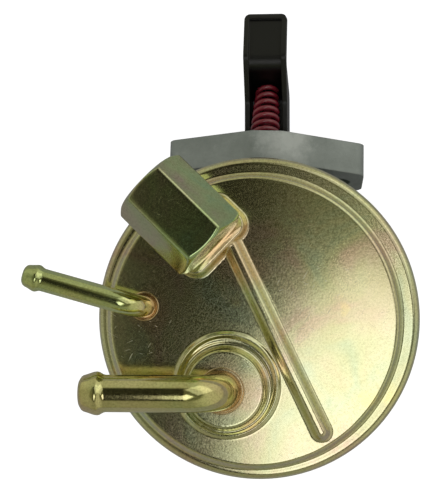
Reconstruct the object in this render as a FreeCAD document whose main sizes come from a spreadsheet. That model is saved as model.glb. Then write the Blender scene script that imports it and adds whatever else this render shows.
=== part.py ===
# Mechanical diaphragm fuel pump with a crimped fuel cover, two hose tubes, a hexagon outlet
# fitting, an inclined mounting flange and a sprung rocker arm.
# Millimetres. +Z points out of the fuel cover, +Y towards the rocker arm.
# The origin is the centre of the mounting flange's face.
import FreeCAD, Part
import math
import os
import re

import Sketcher
from FreeCAD import Vector

doc = FreeCAD.newDocument("fuel_pump")

# Driving dimensions
SIZES = {
    # Where the mounting face lies from the bowl axis and from the rim land of the cover
    "face_forward": 60.7,
    "face_depth": 44.0,
    "face_tilt": 16.0,
    # Running and seating clearances
    "running_gap": 0.05,
    "seat_gap": 0.02,
    "side_gap": 0.3,
    # Fuel cover, pressed sheet crimped round the stack
    "rim_radius": 56.1,
    "rim_roll": 2.6,
    "rim_height": 10.0,
    "hem_width": 5.0,
    "hem_roll": 2.2,
    "cover_sheet": 1.4,
    "panel_radius": 51.85,
    "panel_slope": 2.35,
    "panel_rise": 2.2,
    "panel_x": -1.3,
    "panel_y": -0.9,
    # Pressed boss round the inlet tube
    "bead_x": -10.4,
    "bead_y": -22.9,
    "bead_radius": 17.5,
    "bead_width": 2.6,
    "bead_rise": 0.8,
    "boss_x": -10.9,
    "boss_y": -24.2,
    "boss_radius": 14.9,
    "boss_slope": 1.8,
    "boss_rise": 3.6,
    # Pressed rib
    "rib_x": 22.4,
    "rib_y": -38.8,
    "rib_length": 71.0,
    "rib_heading": 115.5,
    "rib_width": 7.6,
    "rib_slope": 2.9,
    "rib_rise": 3.0,
    # Saddle pressed in the cover for the outlet fitting
    "saddle_length": 19.0,
    "saddle_width": 29.5,
    "saddle_corner": 6.0,
    "saddle_rise": 3.0,
    "saddle_sink": 1.2,
    "saddle_slope": 1.4,
    # Hexagon outlet fitting
    "fitting_x": -24.2,
    "fitting_y": 35.4,
    "fitting_heading": 135.8,
    "fitting_tilt": 3.0,
    "fitting_flats": 25.4,
    "fitting_length": 31.0,
    "fitting_chamfer": 30.0,
    "port_radius": 7.3,
    "port_depth": 15.0,
    "port_mouth": 1.2,
    "port_passage": 3.2,
    "port_offset": 8.0,
    # Inlet tube, a beaded hose tube
    "inlet_x": -11.9,
    "inlet_y": -24.6,
    "inlet_heading": 180.0,
    "inlet_radius": 6.35,
    "inlet_wall": 1.0,
    "inlet_height": 19.5,
    "inlet_bend": 11.2,
    "inlet_run": 47.1,
    "inlet_bead": 7.45,
    "inlet_bead_back": 8.6,
    "inlet_bead_peak": 5.2,
    "inlet_crown": 1.2,
    "inlet_bead_front": 1.4,
    "inlet_collar": 8.9,
    "inlet_collar_rise": 1.1,
    "inlet_braze_rise": 2.3,
    # Return tube, a smaller beaded hose tube
    "return_x": -39.2,
    "return_y": 4.3,
    "return_heading": 164.5,
    "return_radius": 3.97,
    "return_wall": 0.8,
    "return_height": 12.0,
    "return_bend": 8.2,
    "return_run": 42.2,
    "return_bead": 4.75,
    "return_bead_back": 6.4,
    "return_bead_peak": 4.0,
    "return_crown": 0.9,
    "return_bead_front": 1.1,
    "return_collar": 5.0,
    "return_collar_rise": 0.7,
    "return_braze_rise": 1.5,
    # Clamped stack under the cover
    "gasket_thickness": 0.8,
    "valve_flange": 1.6,
    "diaphragm_thickness": 1.2,
    "bowl_flange": 3.6,
    # Valve body
    "body_floor_radius": 33.6,
    "body_floor_depth": 12.5,
    "body_floor": 2.2,
    "body_mouth": 46.2,
    "well_radius": 15.6,
    "well_wall": 2.4,
    "valve_pocket": 11.2,
    "outlet_pocket_back": 5.5,
    "outlet_pocket_half": 27.0,
    "outlet_pocket_reach": 28.0,
    "outlet_pocket_corner": 5.0,
    "valve_boss_wall": 1.5,
    "valve_boss_depth": 6.5,
    # Valves
    "inlet_valve_x": -10.2,
    "inlet_valve_y": -20.2,
    "outlet_valve_x": 13.0,
    "outlet_valve_y": 10.0,
    "cage_radius": 8.0,
    "cage_height": 8.5,
    "cage_wall": 1.2,
    "cage_floor": 1.6,
    "cage_port": 3.6,
    "seat_lip": 1.0,
    "seat_rise": 0.5,
    "cage_hole": 1.3,
    "cage_hole_circle": 4.8,
    "hole_count": 5.0,
    "cage_post": 1.0,
    "cage_post_length": 2.1,
    "disc_radius": 6.2,
    "disc_thickness": 0.9,
    "valve_coil_radius": 1.9,
    "valve_coil_wire": 0.2,
    "valve_coil_turns": 2.5,
    # Diaphragm and its plates
    "clamp_inner": 48.0,
    "centre_depth": 16.5,
    "centre_radius": 31.0,
    "plate_radius": 30.0,
    "plate_thickness": 1.2,
    "plate_edge": 1.4,
    # Pull rod
    "rod_radius": 2.4,
    "rod_head_radius": 5.2,
    "rod_head": 2.4,
    "rivet_radius": 4.0,
    "rivet_height": 0.7,
    "washer_radius": 6.5,
    "washer_thickness": 0.6,
    # Diaphragm spring
    "coil_radius": 13.0,
    "coil_wire": 1.2,
    "coil_turns": 4.0,
    # Upper housing, a die casting
    "bowl_mouth": 48.5,
    "bowl_lip_depth": 3.5,
    "bowl_lip_radius": 46.5,
    "bowl_shoulder": 50.6,
    "bowl_floor_radius": 31.5,
    "bowl_depth": 34.0,
    "bowl_floor": 4.0,
    "bowl_wall": 3.2,
    "guide_radius": 9.0,
    "guide_rise": 3.0,
    "seal_radius": 6.5,
    "seal_depth": 4.0,
    "seal_thickness": 2.8,
    "retainer_thickness": 0.9,
    "rib_count": 5.0,
    "bowl_rib_width": 3.0,
    "bowl_rib_foot": 46.0,
    "bowl_rib_depth": 30.0,
    "neck_width": 27.0,
    "neck_back": 12.5,
    "neck_floor": 3.5,
    "neck_corner": 6.0,
    "neck_end_low": 52.6,
    "neck_end_high": 57.0,
    "neck_roof": 25.5,
    "neck_roof_start": 38.5,
    "cavity_width": 20.0,
    "cavity_back": 8.5,
    "cavity_floor": 59.5,
    "cavity_roof": 38.0,
    "mouth_roof": 30.5,
    "mouth_back": 42.0,
    "stop_back": 46.0,
    "stop_length": 6.0,
    "stop_width": 12.0,
    "pivot_boss_radius": 9.5,
    "pivot_boss_width": 31.0,
    # Mounting flange
    "flange_half": 35.6,
    "flange_peak": 22.0,
    "flange_flat": 5.5,
    "flange_ear": 8.9,
    "flange_corner": 3.6,
    "flange_thickness": 12.0,
    "flange_turn": 4.6,
    "bolt_offset": 26.5,
    "bolt_hole": 4.3,
    # Pivot
    "pivot_forward": 31.0,
    "pivot_depth": 46.0,
    "pin_radius": 4.0,
    "pin_length": 26.0,
    "plug_radius": 5.0,
    "plug_thickness": 1.2,
    "spacer_radius": 7.2,
    # Pull link
    "link_width": 11.5,
    "link_sheet": 1.8,
    "link_eye": 7.0,
    "link_end": 4.0,
    "link_heel": 14.0,
    "link_heel_top": 1.5,
    "link_web_start": 10.0,
    "link_web_end": 23.5,
    # Rocker arm, a pressed channel that is open towards the cover
    "arm_width": 15.76,
    "arm_sheet": 1.85,
    "arm_web": 2.0,
    "arm_drop": 7.6,
    "arm_web_start": 9.0,
    "arm_level": 49.5,
    "arm_rise_angle": 58.0,
    "arm_rise_length": 20.4,
    "arm_fall_angle": 17.8,
    "arm_fall_length": 20.6,
    "arm_bend": 3.5,
    "arm_rail": 6.0,
    "arm_rail_start": 12.0,
    "arm_rail_end": 47.0,
    "arm_crest": 63.5,
    "arm_crest_rail": 13.0,
    "arm_tip_rail": 6.5,
    "arm_tip_round": 1.5,
    # Return spring
    "return_coil_seat": 6.2,
    "return_coil_length": 28.0,
    "return_coil_base": 4.95,
    "return_coil_top": 3.5,
    "return_coil_wire": 0.9,
    "return_coil_turns": 8.0,
    "return_coil_bore": 6.3,
}

sheet = doc.addObject("Spreadsheet::Sheet", "Sizes")
for row, (alias, number) in enumerate(SIZES.items(), start=1):
    sheet.set(f"A{row}", alias)
    sheet.set(f"B{row}", str(number))
    sheet.setAlias(f"B{row}", alias)
doc.recompute()


# Formulas
def linked(formula):
    """A formula with every size's name pointing at its cell."""
    return re.sub(r"\b[a-z]+(?:_[a-z]+)+\b", r"Sizes.\g<0>", formula)


def value(formula):
    """The number that a formula gives now."""
    return float(sheet.evalExpression(linked(formula)))


def bind(item, **formulas):
    for name, formula in formulas.items():
        item.setExpression(name, linked(formula))


def seat(item, x, y, z, turn=None):
    """Places an item: x and y from the bowl axis, z from the cover's rim land."""
    spot = f"vector({x}; {y} - face_forward; {z} + face_depth)"
    rotation = turn or "rotation(vector(0; 0; 1); 0)"
    item.setExpression("Placement", linked(f"placement({spot}; {rotation})"))


def offset(x="0", y="0", z="0", turn=None):
    """An offset of a sketch from its plane."""
    rotation = turn or "rotation(vector(0; 0; 1); 0)"
    return f"placement(vector({x}; {y}; {z}); {rotation})"


# Sketches
def new_body(label):
    body = doc.addObject("PartDesign::Body", label)
    body.Label = label
    return body


def new_sketch(body, name, plane, shift=None):
    planes = {item.Role: item for item in body.Origin.OriginFeatures}
    sketch = body.newObject("Sketcher::SketchObject", f"{body.Label}_{name}")
    sketch.AttachmentSupport = (planes[plane], [""])
    sketch.MapMode = "FlatFace"
    if shift:
        sketch.setExpression("AttachmentOffset", linked(shift))
    return sketch


def hold(sketch, kind, *where, formula):
    """A constraint whose size is a formula."""
    index = sketch.addConstraint(Sketcher.Constraint(kind, *where, value(formula)))
    sketch.renameConstraint(index, f"size_{index}")
    sketch.setExpression(f"Constraints.size_{index}", linked(formula))


def fix_point(sketch, item, end, x, y):
    """Ties a point to the sketch's origin."""
    for kind, axis, formula in (("DistanceX", -2, x), ("DistanceY", -1, y)):
        if formula == "0":
            sketch.addConstraint(Sketcher.Constraint("PointOnObject", item, end, axis))
        else:
            hold(sketch, kind, -1, 1, item, end, formula=formula)


def nearest_end(sketch, item, point):
    return min((1, 2), key=lambda end: (sketch.getPoint(item, end) - point).Length)


def circle(sketch, x, y, radius):
    middle = Vector(value(x), value(y), 0)
    item = sketch.addGeometry(Part.Circle(middle, Vector(0, 0, 1), value(radius)), False)
    fix_point(sketch, item, 3, x, y)
    hold(sketch, "Radius", item, formula=radius)
    return item


def outline(sketch, corners):
    """A closed outline of straight sides. A corner is (x, y), or (x, y, radius) where it is round."""
    spots = [Vector(value(corner[0]), value(corner[1]), 0) for corner in corners]
    count = len(spots)
    starts, ends, arcs = [], [], []
    for index, spot in enumerate(spots):
        before = (spots[index - 1] - spot).normalize()
        after = (spots[(index + 1) % count] - spot).normalize()
        if len(corners[index]) == 2:
            ends.append(spot)
            starts.append(spot)
            arcs.append(None)
            continue
        radius = value(corners[index][2])
        half = math.acos(before.dot(after)) / 2
        reach = radius / math.tan(half)
        middle = spot + (before + after).normalize() * (radius / math.sin(half))
        ends.append(spot + before * reach)
        starts.append(spot + after * reach)
        arcs.append(middle + (spot - middle).normalize() * radius)
    sides = []
    for index in range(count):
        side = Part.LineSegment(starts[index], ends[(index + 1) % count])
        sides.append(sketch.addGeometry(side, False))
    for index, corner in enumerate(corners):
        before, after = sides[index - 1], sides[index]
        if arcs[index] is None:
            sketch.addConstraint(Sketcher.Constraint("Coincident", before, 2, after, 1))
            fix_point(sketch, after, 1, corner[0], corner[1])
            continue
        bow = Part.Arc(ends[index], arcs[index], starts[index])
        arc = sketch.addGeometry(bow, False)
        first = nearest_end(sketch, arc, ends[index])
        sketch.addConstraint(Sketcher.Constraint("Tangent", before, 2, arc, first))
        sketch.addConstraint(Sketcher.Constraint("Tangent", arc, 3 - first, after, 1))
        hold(sketch, "Radius", arc, formula=corner[2])
        point = sketch.addGeometry(Part.Point(spots[index]), True)
        fix_point(sketch, point, 1, corner[0], corner[1])
        sketch.addConstraint(Sketcher.Constraint("PointOnObject", point, 1, before))
        sketch.addConstraint(Sketcher.Constraint("PointOnObject", point, 1, after))


def slot(sketch, x, y, length, radius):
    """A slot whose round end lies at x, y and which runs back along +X."""
    left, right = value(x), value(f"{x} + {length}")
    level, reach = value(y), value(radius)
    top = sketch.addGeometry(
        Part.LineSegment(Vector(right, level + reach, 0), Vector(left, level + reach, 0)), False
    )
    low = sketch.addGeometry(
        Part.LineSegment(Vector(left, level - reach, 0), Vector(right, level - reach, 0)), False
    )
    near = sketch.addGeometry(
        Part.Arc(
            Vector(left, level + reach, 0), Vector(left - reach, level, 0), Vector(left, level - reach, 0)
        ),
        False,
    )
    far = sketch.addGeometry(
        Part.Arc(
            Vector(right, level - reach, 0), Vector(right + reach, level, 0), Vector(right, level + reach, 0)
        ),
        False,
    )
    for line, end, arc in ((top, 2, near), (low, 1, near), (low, 2, far), (top, 1, far)):
        spot = sketch.getPoint(line, end)
        joined = nearest_end(sketch, arc, spot)
        sketch.addConstraint(Sketcher.Constraint("Tangent", line, end, arc, joined))
    hold(sketch, "Radius", near, formula=radius)
    fix_point(sketch, near, 3, x, y)
    fix_point(sketch, far, 3, f"{x} + {length}", y)


# Features
def pad(body, sketch, length, reverse=False, middle=False, taper=None):
    feature = body.newObject("PartDesign::Pad", f"{sketch.Name}_pad")
    feature.Profile = sketch
    feature.Midplane = middle
    feature.Reversed = reverse
    bind(feature, Length=length)
    if taper:
        bind(feature, TaperAngle=taper)
    sketch.Visibility = False
    return feature


def pocket(body, sketch, length, reverse=False, middle=False, taper=None):
    before = solid_volume(body)
    feature = body.newObject("PartDesign::Pocket", f"{sketch.Name}_pocket")
    feature.Profile = sketch
    feature.Midplane = middle
    feature.Reversed = reverse
    bind(feature, Length=length)
    if taper:
        bind(feature, TaperAngle=taper)
    check_cut(body, feature, before)
    return feature


def revolve(body, sketch, axis="V_Axis"):
    feature = body.newObject("PartDesign::Revolution", f"{sketch.Name}_turned")
    feature.Profile = sketch
    feature.ReferenceAxis = (sketch, [axis])
    feature.Angle = 360
    return feature


def groove(body, sketch, axis="V_Axis"):
    before = solid_volume(body)
    feature = body.newObject("PartDesign::Groove", f"{sketch.Name}_groove")
    feature.Profile = sketch
    feature.ReferenceAxis = (sketch, [axis])
    feature.Angle = 360
    check_cut(body, feature, before)
    return feature


def solid_volume(body):
    doc.recompute()
    return body.Shape.Volume


def check_cut(body, feature, before):
    """A cut that points away from the solid removes nothing and shows no error."""
    doc.recompute()
    if not body.Shape.Volume < before - 1e-3:
        raise RuntimeError(f"{feature.Name} cuts nothing")


# Levels below the cover's rim land, as formulas
SEAT_RADIUS = "rim_radius - rim_roll"
GASKET_TOP = "-cover_sheet"
VALVE_TOP = "-cover_sheet - gasket_thickness"
DIAPHRAGM_TOP = f"{VALVE_TOP} - valve_flange"
BOWL_TOP = f"{DIAPHRAGM_TOP} - diaphragm_thickness"
BOWL_FLANGE_LOW = f"{BOWL_TOP} - bowl_flange"
PANEL_UNDER = "panel_rise - cover_sheet"
WELL_TOP = f"{PANEL_UNDER} - gasket_thickness"
CENTRE_LOW = "-centre_depth - diaphragm_thickness"
ROD_HEAD_TOP = "-pivot_depth - link_end - side_gap"


def emboss(body, name, shift_x, shift_y, heading, draw, rise, slope):
    """A raised pressing of the cover's sheet: the bulge above and the hollow below it."""
    spin = f"rotation(vector(0; 0; 1); {heading})"
    taper = f"-atan({slope} / {rise})"
    sink = f"cover_sheet * tan(atan({rise} / {slope}) / 2)"
    above = new_sketch(body, f"{name}_top", "XY_Plane", offset(shift_x, shift_y, "panel_rise", spin))
    draw(above, "0")
    pad(body, above, rise, taper=taper)
    below = new_sketch(body, f"{name}_hollow", "XY_Plane", offset(shift_x, shift_y, PANEL_UNDER, spin))
    draw(below, sink)
    pocket(body, below, rise, reverse=True, taper=taper)


def make_fuel_cover():
    body = new_body("fuel_cover")
    seat(body, "0", "0", "0")
    rim = new_sketch(body, "rim", "XZ_Plane")
    outline(
        rim,
        [
            ("0", "0"),
            ("rim_radius", "0", "rim_roll"),
            ("rim_radius", "-rim_height + hem_roll"),
            ("rim_radius - hem_roll", "-rim_height"),
            ("rim_radius - hem_width", "-rim_height"),
            ("rim_radius - hem_width", "-rim_height + cover_sheet"),
            (SEAT_RADIUS, "-rim_height + cover_sheet"),
            (SEAT_RADIUS, "-cover_sheet"),
            ("0", "-cover_sheet"),
        ],
    )
    revolve(body, rim)
    panel = new_sketch(body, "panel", "XY_Plane")
    circle(panel, "panel_x", "panel_y", "panel_radius")
    pad(body, panel, "panel_rise", taper="-atan(panel_slope / panel_rise)")
    under = new_sketch(body, "panel_hollow", "XY_Plane", offset("0", "0", "-cover_sheet"))
    sink = "cover_sheet * tan(atan(panel_rise / panel_slope) / 2)"
    circle(under, "panel_x", "panel_y", f"panel_radius - {sink}")
    pocket(body, under, "panel_rise", reverse=True, taper="-atan(panel_slope / panel_rise)")
    emboss(
        body,
        "boss",
        "boss_x",
        "boss_y",
        "0",
        lambda sketch, inset: circle(sketch, "0", "0", f"boss_radius - {inset}"),
        "boss_rise",
        "boss_slope",
    )
    emboss(
        body,
        "rib",
        "rib_x",
        "rib_y",
        "rib_heading",
        lambda sketch, inset: slot(sketch, "0", "0", "rib_length", f"rib_width / 2 - {inset}"),
        "rib_rise",
        "rib_slope",
    )
    bead = new_sketch(body, "bead", "XZ_Plane", offset("bead_x", "panel_rise", "-bead_y"))
    outline(
        bead,
        [
            ("bead_radius - bead_width / 2", "-bead_rise / 2"),
            ("bead_radius + bead_width / 2", "-bead_rise / 2"),
            ("bead_radius + bead_width / 2", "0"),
            ("bead_radius + bead_width / 6", "bead_rise"),
            ("bead_radius - bead_width / 6", "bead_rise"),
            ("bead_radius - bead_width / 2", "0"),
        ],
    )
    revolve(body, bead)
    add_saddle(body)
    holes = new_sketch(body, "holes", "XY_Plane", offset("0", "0", "-cover_sheet"))
    circle(holes, "inlet_x", "inlet_y", "inlet_radius + seat_gap")
    circle(holes, "return_x", "return_y", "return_radius + seat_gap")
    circle(
        holes,
        "fitting_x - port_offset * cos(fitting_heading)",
        "fitting_y - port_offset * sin(fitting_heading)",
        "port_passage",
    )
    pocket(body, holes, "cover_sheet + panel_rise + boss_rise + saddle_rise", reverse=True)
    return body


def add_saddle(body):
    """The seat of the outlet fitting, tilted with it."""
    tilt = "rotation(vector(0; 0; 1); fitting_heading) * rotation(vector(0; 1; 0); fitting_tilt)"
    taper = "-atan(saddle_slope / saddle_rise)"
    for name, sink, inset in (
        ("saddle", "saddle_sink", "0"),
        ("saddle_hollow", "(saddle_sink + cover_sheet)", "cover_sheet / 2"),
    ):
        place = (
            f"fitting_x - {sink} * sin(fitting_tilt) * cos(fitting_heading)",
            f"fitting_y - {sink} * sin(fitting_tilt) * sin(fitting_heading)",
            f"panel_rise - {sink} * cos(fitting_tilt)",
        )
        sketch = new_sketch(body, name, "XY_Plane", offset(*place, tilt))
        near, far = f"-{inset}", f"-saddle_length + {inset}"
        side = f"saddle_width / 2 - {inset}"
        corner = f"saddle_corner - {inset}"
        outline(
            sketch,
            [
                (far, f"-({side})", corner),
                (near, f"-({side})", corner),
                (near, side, corner),
                (far, side, corner),
            ],
        )
        if name == "saddle":
            pad(body, sketch, "saddle_sink + saddle_rise", taper=taper)
        else:
            pocket(body, sketch, "saddle_sink + saddle_rise", reverse=True, taper=taper)


def make_hose_tube(label, kind, base_level):
    """A bent tube with a rounded, beaded end and a brazed collar where it leaves the cover."""
    radius, bore = f"{kind}_radius", f"{kind}_radius - {kind}_wall"
    rise, run, bend = f"{kind}_height - ({base_level})", f"{kind}_run", f"{kind}_bend"
    straight = f"{run} - {kind}_bead_back - {kind}_wall"
    body = new_body(label)
    spin = f"rotation(vector(0; 0; 1); {kind}_heading)"
    seat(body, f"{kind}_x", f"{kind}_y", base_level, spin)
    path = new_sketch(body, "path", "XZ_Plane")
    foot = Vector(0, -value("cover_sheet"), 0)
    turn_low = Vector(0, value(f"{rise} - {bend}"), 0)
    turn_high = Vector(value(bend), value(rise), 0)
    middle = Vector(turn_high.x, turn_low.y, 0)
    half = middle + Vector(-1, 1, 0).normalize() * value(bend)
    leg = path.addGeometry(Part.LineSegment(foot, turn_low), False)
    arc = path.addGeometry(Part.Arc(turn_low, half, turn_high), False)
    stop = Vector(value(straight), value(rise), 0)
    level = path.addGeometry(Part.LineSegment(turn_high, stop), False)
    first = nearest_end(path, arc, turn_low)
    path.addConstraint(Sketcher.Constraint("Tangent", leg, 2, arc, first))
    path.addConstraint(Sketcher.Constraint("Tangent", arc, 3 - first, level, 1))
    path.addConstraint(Sketcher.Constraint("Vertical", leg))
    path.addConstraint(Sketcher.Constraint("Horizontal", level))
    hold(path, "Radius", arc, formula=bend)
    fix_point(path, leg, 1, "0", "-cover_sheet")
    fix_point(path, level, 2, straight, rise)
    section = new_sketch(body, "section", "XY_Plane", offset("0", "0", "-cover_sheet"))
    circle(section, "0", "0", radius)
    circle(section, "0", "0", bore)
    tube = body.newObject("PartDesign::AdditivePipe", f"{label}_tube")
    tube.Profile = section
    tube.Spine = (path, ["Edge1", "Edge2", "Edge3"])
    end = new_sketch(body, "end", "XZ_Plane", offset("0", rise, "0"))
    outline(
        end,
        [
            (straight, bore),
            (straight, radius),
            (f"{run} - {kind}_bead_back", radius),
            (f"{run} - {kind}_bead_peak - {kind}_crown", f"{kind}_bead"),
            (f"{run} - {kind}_bead_peak", f"{kind}_bead"),
            (f"{run} - {kind}_bead_front", radius),
            (run, f"{bore} + {kind}_wall / 4"),
            (run, bore),
        ],
    )
    revolve(body, end, "H_Axis")
    collar = new_sketch(body, "collar", "XZ_Plane")
    inner = f"{radius} - {kind}_wall / 2"
    outline(
        collar,
        [
            (inner, "0"),
            (f"{kind}_collar", "0"),
            (f"{kind}_collar", f"{kind}_collar_rise / 2"),
            (f"({kind}_collar + {radius}) / 2", f"{kind}_collar_rise"),
            (radius, f"{kind}_braze_rise"),
            (inner, f"{kind}_braze_rise"),
        ],
    )
    revolve(body, collar)
    return body


def make_outlet_fitting():
    """A hexagon bar fitting with a threaded port at its outer end and a cross passage below."""
    body = new_body("outlet_fitting")
    height = "saddle_rise + fitting_flats / 2"
    lean = f"({height}) * sin(fitting_tilt)"
    seat(
        body,
        f"fitting_x + {lean} * cos(fitting_heading)",
        f"fitting_y + {lean} * sin(fitting_heading)",
        f"panel_rise + ({height}) * cos(fitting_tilt)",
        "rotation(vector(0; 0; 1); fitting_heading) * rotation(vector(0; 1; 0); fitting_tilt)",
    )
    bar = new_sketch(body, "hexagon", "YZ_Plane")
    corner, flat = "fitting_flats / sqrt(3)", "fitting_flats / 2"
    outline(
        bar,
        [
            (corner, "0"),
            (f"{corner} / 2", flat),
            (f"-{corner} / 2", flat),
            (f"-{corner}", "0"),
            (f"-{corner} / 2", f"-{flat}"),
            (f"{corner} / 2", f"-{flat}"),
        ],
    )
    pad(body, bar, "fitting_length", middle=True)
    for name, side in (("outer_chamfer", ""), ("inner_chamfer", "-")):
        trim = new_sketch(body, name, "XZ_Plane")
        face = f"{side}(fitting_length / 2)"
        depth = f"({corner}) * tan(fitting_chamfer) / 2"
        outline(
            trim,
            [
                (face, f"{flat} * cos(fitting_tilt)"),
                (face, f"{flat} * cos(fitting_tilt) + {corner} / 2"),
                (f"{side}(fitting_length / 2 - {depth})", f"{flat} * cos(fitting_tilt) + {corner} / 2"),
            ],
        )
        groove(body, trim, "H_Axis")
    port = new_sketch(body, "port", "XZ_Plane")
    outline(
        port,
        [
            ("fitting_length / 2", "0"),
            ("fitting_length / 2", "port_radius + port_mouth"),
            ("fitting_length / 2 - port_mouth", "port_radius"),
            ("fitting_length / 2 - port_depth - port_mouth", "port_radius"),
            ("fitting_length / 2 - port_depth - port_mouth - (port_radius - port_passage) / 2", "port_passage"),
            ("-port_offset", "port_passage"),
            ("-port_offset", "0"),
        ],
    )
    groove(body, port, "H_Axis")
    cross = new_sketch(body, "cross", "XY_Plane")
    circle(cross, "-port_offset", "0", "port_passage")
    pocket(body, cross, "fitting_flats / 2")
    return body


def make_housing():
    body = new_body("housing")
    seat(body, "0", "0", "0")
    bowl = new_sketch(body, "bowl", "XZ_Plane")
    guide_bore = "rod_radius + running_gap"
    outline(
        bowl,
        [
            (guide_bore, "-bowl_depth - bowl_floor"),
            ("bowl_floor_radius + bowl_wall", "-bowl_depth - bowl_floor", "neck_corner"),
            ("bowl_shoulder", BOWL_FLANGE_LOW),
            (SEAT_RADIUS, BOWL_FLANGE_LOW),
            (SEAT_RADIUS, BOWL_TOP),
            ("bowl_mouth", BOWL_TOP),
            ("bowl_lip_radius", f"{BOWL_TOP} - bowl_lip_depth"),
            ("bowl_floor_radius", "-bowl_depth"),
            ("guide_radius", "-bowl_depth"),
            ("guide_radius", "-bowl_depth + guide_rise"),
            ("seal_radius", "-bowl_depth + guide_rise"),
            ("seal_radius", "-bowl_depth + guide_rise - seal_depth"),
            (guide_bore, "-bowl_depth + guide_rise - seal_depth"),
        ],
    )
    revolve(body, bowl)
    add_bowl_ribs(body)
    neck = new_sketch(body, "neck", "YZ_Plane")
    outline(
        neck,
        [
            ("-neck_back", "-bowl_depth - bowl_floor / 2"),
            ("-neck_back", "-cavity_floor - neck_floor", "neck_corner"),
            ("neck_end_low", "-cavity_floor - neck_floor"),
            ("neck_end_high", "-neck_roof"),
            ("neck_roof_start", "-neck_roof"),
            ("neck_roof_start", "-bowl_depth - bowl_floor / 2"),
        ],
    )
    pad(body, neck, "neck_width", middle=True)
    boss = new_sketch(body, "pivot_boss", "YZ_Plane")
    circle(boss, "pivot_forward", "-pivot_depth", "pivot_boss_radius")
    pad(body, boss, "pivot_boss_width", middle=True)
    add_flange(body)
    cavity = new_sketch(body, "cavity", "YZ_Plane")
    outline(
        cavity,
        [
            ("-cavity_back", "-cavity_roof"),
            ("-cavity_back", "-cavity_floor"),
            ("face_forward + flange_thickness", "-cavity_floor"),
            ("face_forward + flange_thickness", "-mouth_roof"),
            ("mouth_back", "-mouth_roof"),
            ("mouth_back", "-cavity_roof"),
        ],
    )
    pocket(body, cavity, "cavity_width", middle=True)
    guide = new_sketch(body, "guide_bore", "XY_Plane", offset("0", "0", "-bowl_depth"))
    circle(guide, "0", "0", guide_bore)
    pocket(body, guide, "cavity_roof - bowl_depth")
    stop = new_sketch(body, "arm_stop", "YZ_Plane")
    stop_top = "-pivot_depth - arm_drop - side_gap"
    outline(
        stop,
        [
            ("stop_back", "-cavity_floor - neck_floor / 2"),
            ("stop_back + stop_length", "-cavity_floor - neck_floor / 2"),
            ("stop_back + stop_length", stop_top),
            ("stop_back", stop_top),
        ],
    )
    pad(body, stop, "stop_width", middle=True)
    bore = new_sketch(body, "pin_bore", "YZ_Plane")
    circle(bore, "pivot_forward", "-pivot_depth", "pin_radius + seat_gap")
    pocket(body, bore, "pivot_boss_width", middle=True)
    for name, side in (("left_plug_seat", "-"), ("right_plug_seat", "")):
        level = f"{side}(pin_length / 2)"
        recess = new_sketch(body, name, "YZ_Plane", offset("0", "0", level))
        circle(recess, "pivot_forward", "-pivot_depth", "plug_radius + seat_gap")
        pocket(body, recess, "pivot_boss_width / 2 - pin_length / 2", reverse=(side == ""))
    add_spring_bore(body)
    return body


def add_bowl_ribs(body):
    """Radial ribs on the outside of the bowl, spread over the side away from the flange."""
    rib = new_sketch(body, "bowl_rib", "YZ_Plane")
    outline(
        rib,
        [
            ("-bowl_floor_radius", "-bowl_depth - bowl_floor + seat_gap"),
            ("-bowl_rib_foot", "-bowl_rib_depth"),
            ("-bowl_shoulder", BOWL_FLANGE_LOW),
            ("-bowl_shoulder + bowl_wall", BOWL_FLANGE_LOW),
        ],
    )
    first = pad(body, rib, "bowl_rib_width", middle=True)
    doc.recompute()
    pattern = body.newObject("PartDesign::PolarPattern", "housing_rib_pattern")
    pattern.Originals = [first]
    pattern.Axis = (rib, ["V_Axis"])
    bind(pattern, Occurrences="rib_count", Angle="200")
    pattern.setExpression("Angle", "200")
    body.Tip = pattern
    doc.recompute()


def flange_plane(level):
    """The sketch plane of the mounting face, shifted inwards by a level."""
    turn = "rotation(vector(1; 0; 0); -face_tilt) * rotation(vector(0; 0; 1); -flange_turn)"
    back = f"({level}) * sin(face_tilt)"
    return offset("0", f"-face_depth + {back}", f"-face_forward + ({level}) * cos(face_tilt)", turn)


def add_flange(body):
    slab = new_sketch(body, "flange", "XZ_Plane", flange_plane("0"))
    quarter = [("flange_flat", "flange_peak"), ("flange_half", "flange_ear")]
    corners = []
    for x_side, y_side, order in (("", "", 1), ("", "-", -1), ("-", "-", 1), ("-", "", -1)):
        for x, y in quarter[::order]:
            corners.append((f"{x_side}{x}", f"{y_side}{y}", "flange_corner"))
    outline(slab, corners)
    pad(body, slab, "flange_thickness")
    holes = new_sketch(body, "bolt_holes", "XZ_Plane", flange_plane("0"))
    for side in ("-", ""):
        circle(holes, f"{side}bolt_offset", "0", "bolt_hole")
    pocket(body, holes, "flange_thickness * 2", reverse=True)


def add_spring_bore(body):
    """The inclined blind bore in which the return spring's inner end sits."""
    sketch = new_sketch(body, "spring_bore", "XY_Plane", offset(*spring_point("0"), SPRING_TURN))
    circle(sketch, "0", "0", "return_coil_bore")
    pocket(body, sketch, "return_coil_length", reverse=True)


# Shape of the rocker arm, from its pivot
ARM_UNDER = "-arm_drop"
ARM_TOP = "(-arm_drop + arm_web)"
CREST_Y = "(arm_level + arm_rise_length * cos(arm_rise_angle))"
CREST_Z = f"({ARM_TOP} + arm_rise_length * sin(arm_rise_angle))"
TIP_Y = f"({CREST_Y} + arm_fall_length * cos(arm_fall_angle))"
TIP_Z = f"({CREST_Z} - arm_fall_length * sin(arm_fall_angle))"
CREST_LEAN = "((arm_rise_angle - arm_fall_angle) / 2)"
CREST_REACH = "(arm_web / cos((arm_rise_angle + arm_fall_angle) / 2))"
SPRING_TURN = "rotation(vector(1; 0; 0); arm_rise_angle - 180)"


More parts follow.
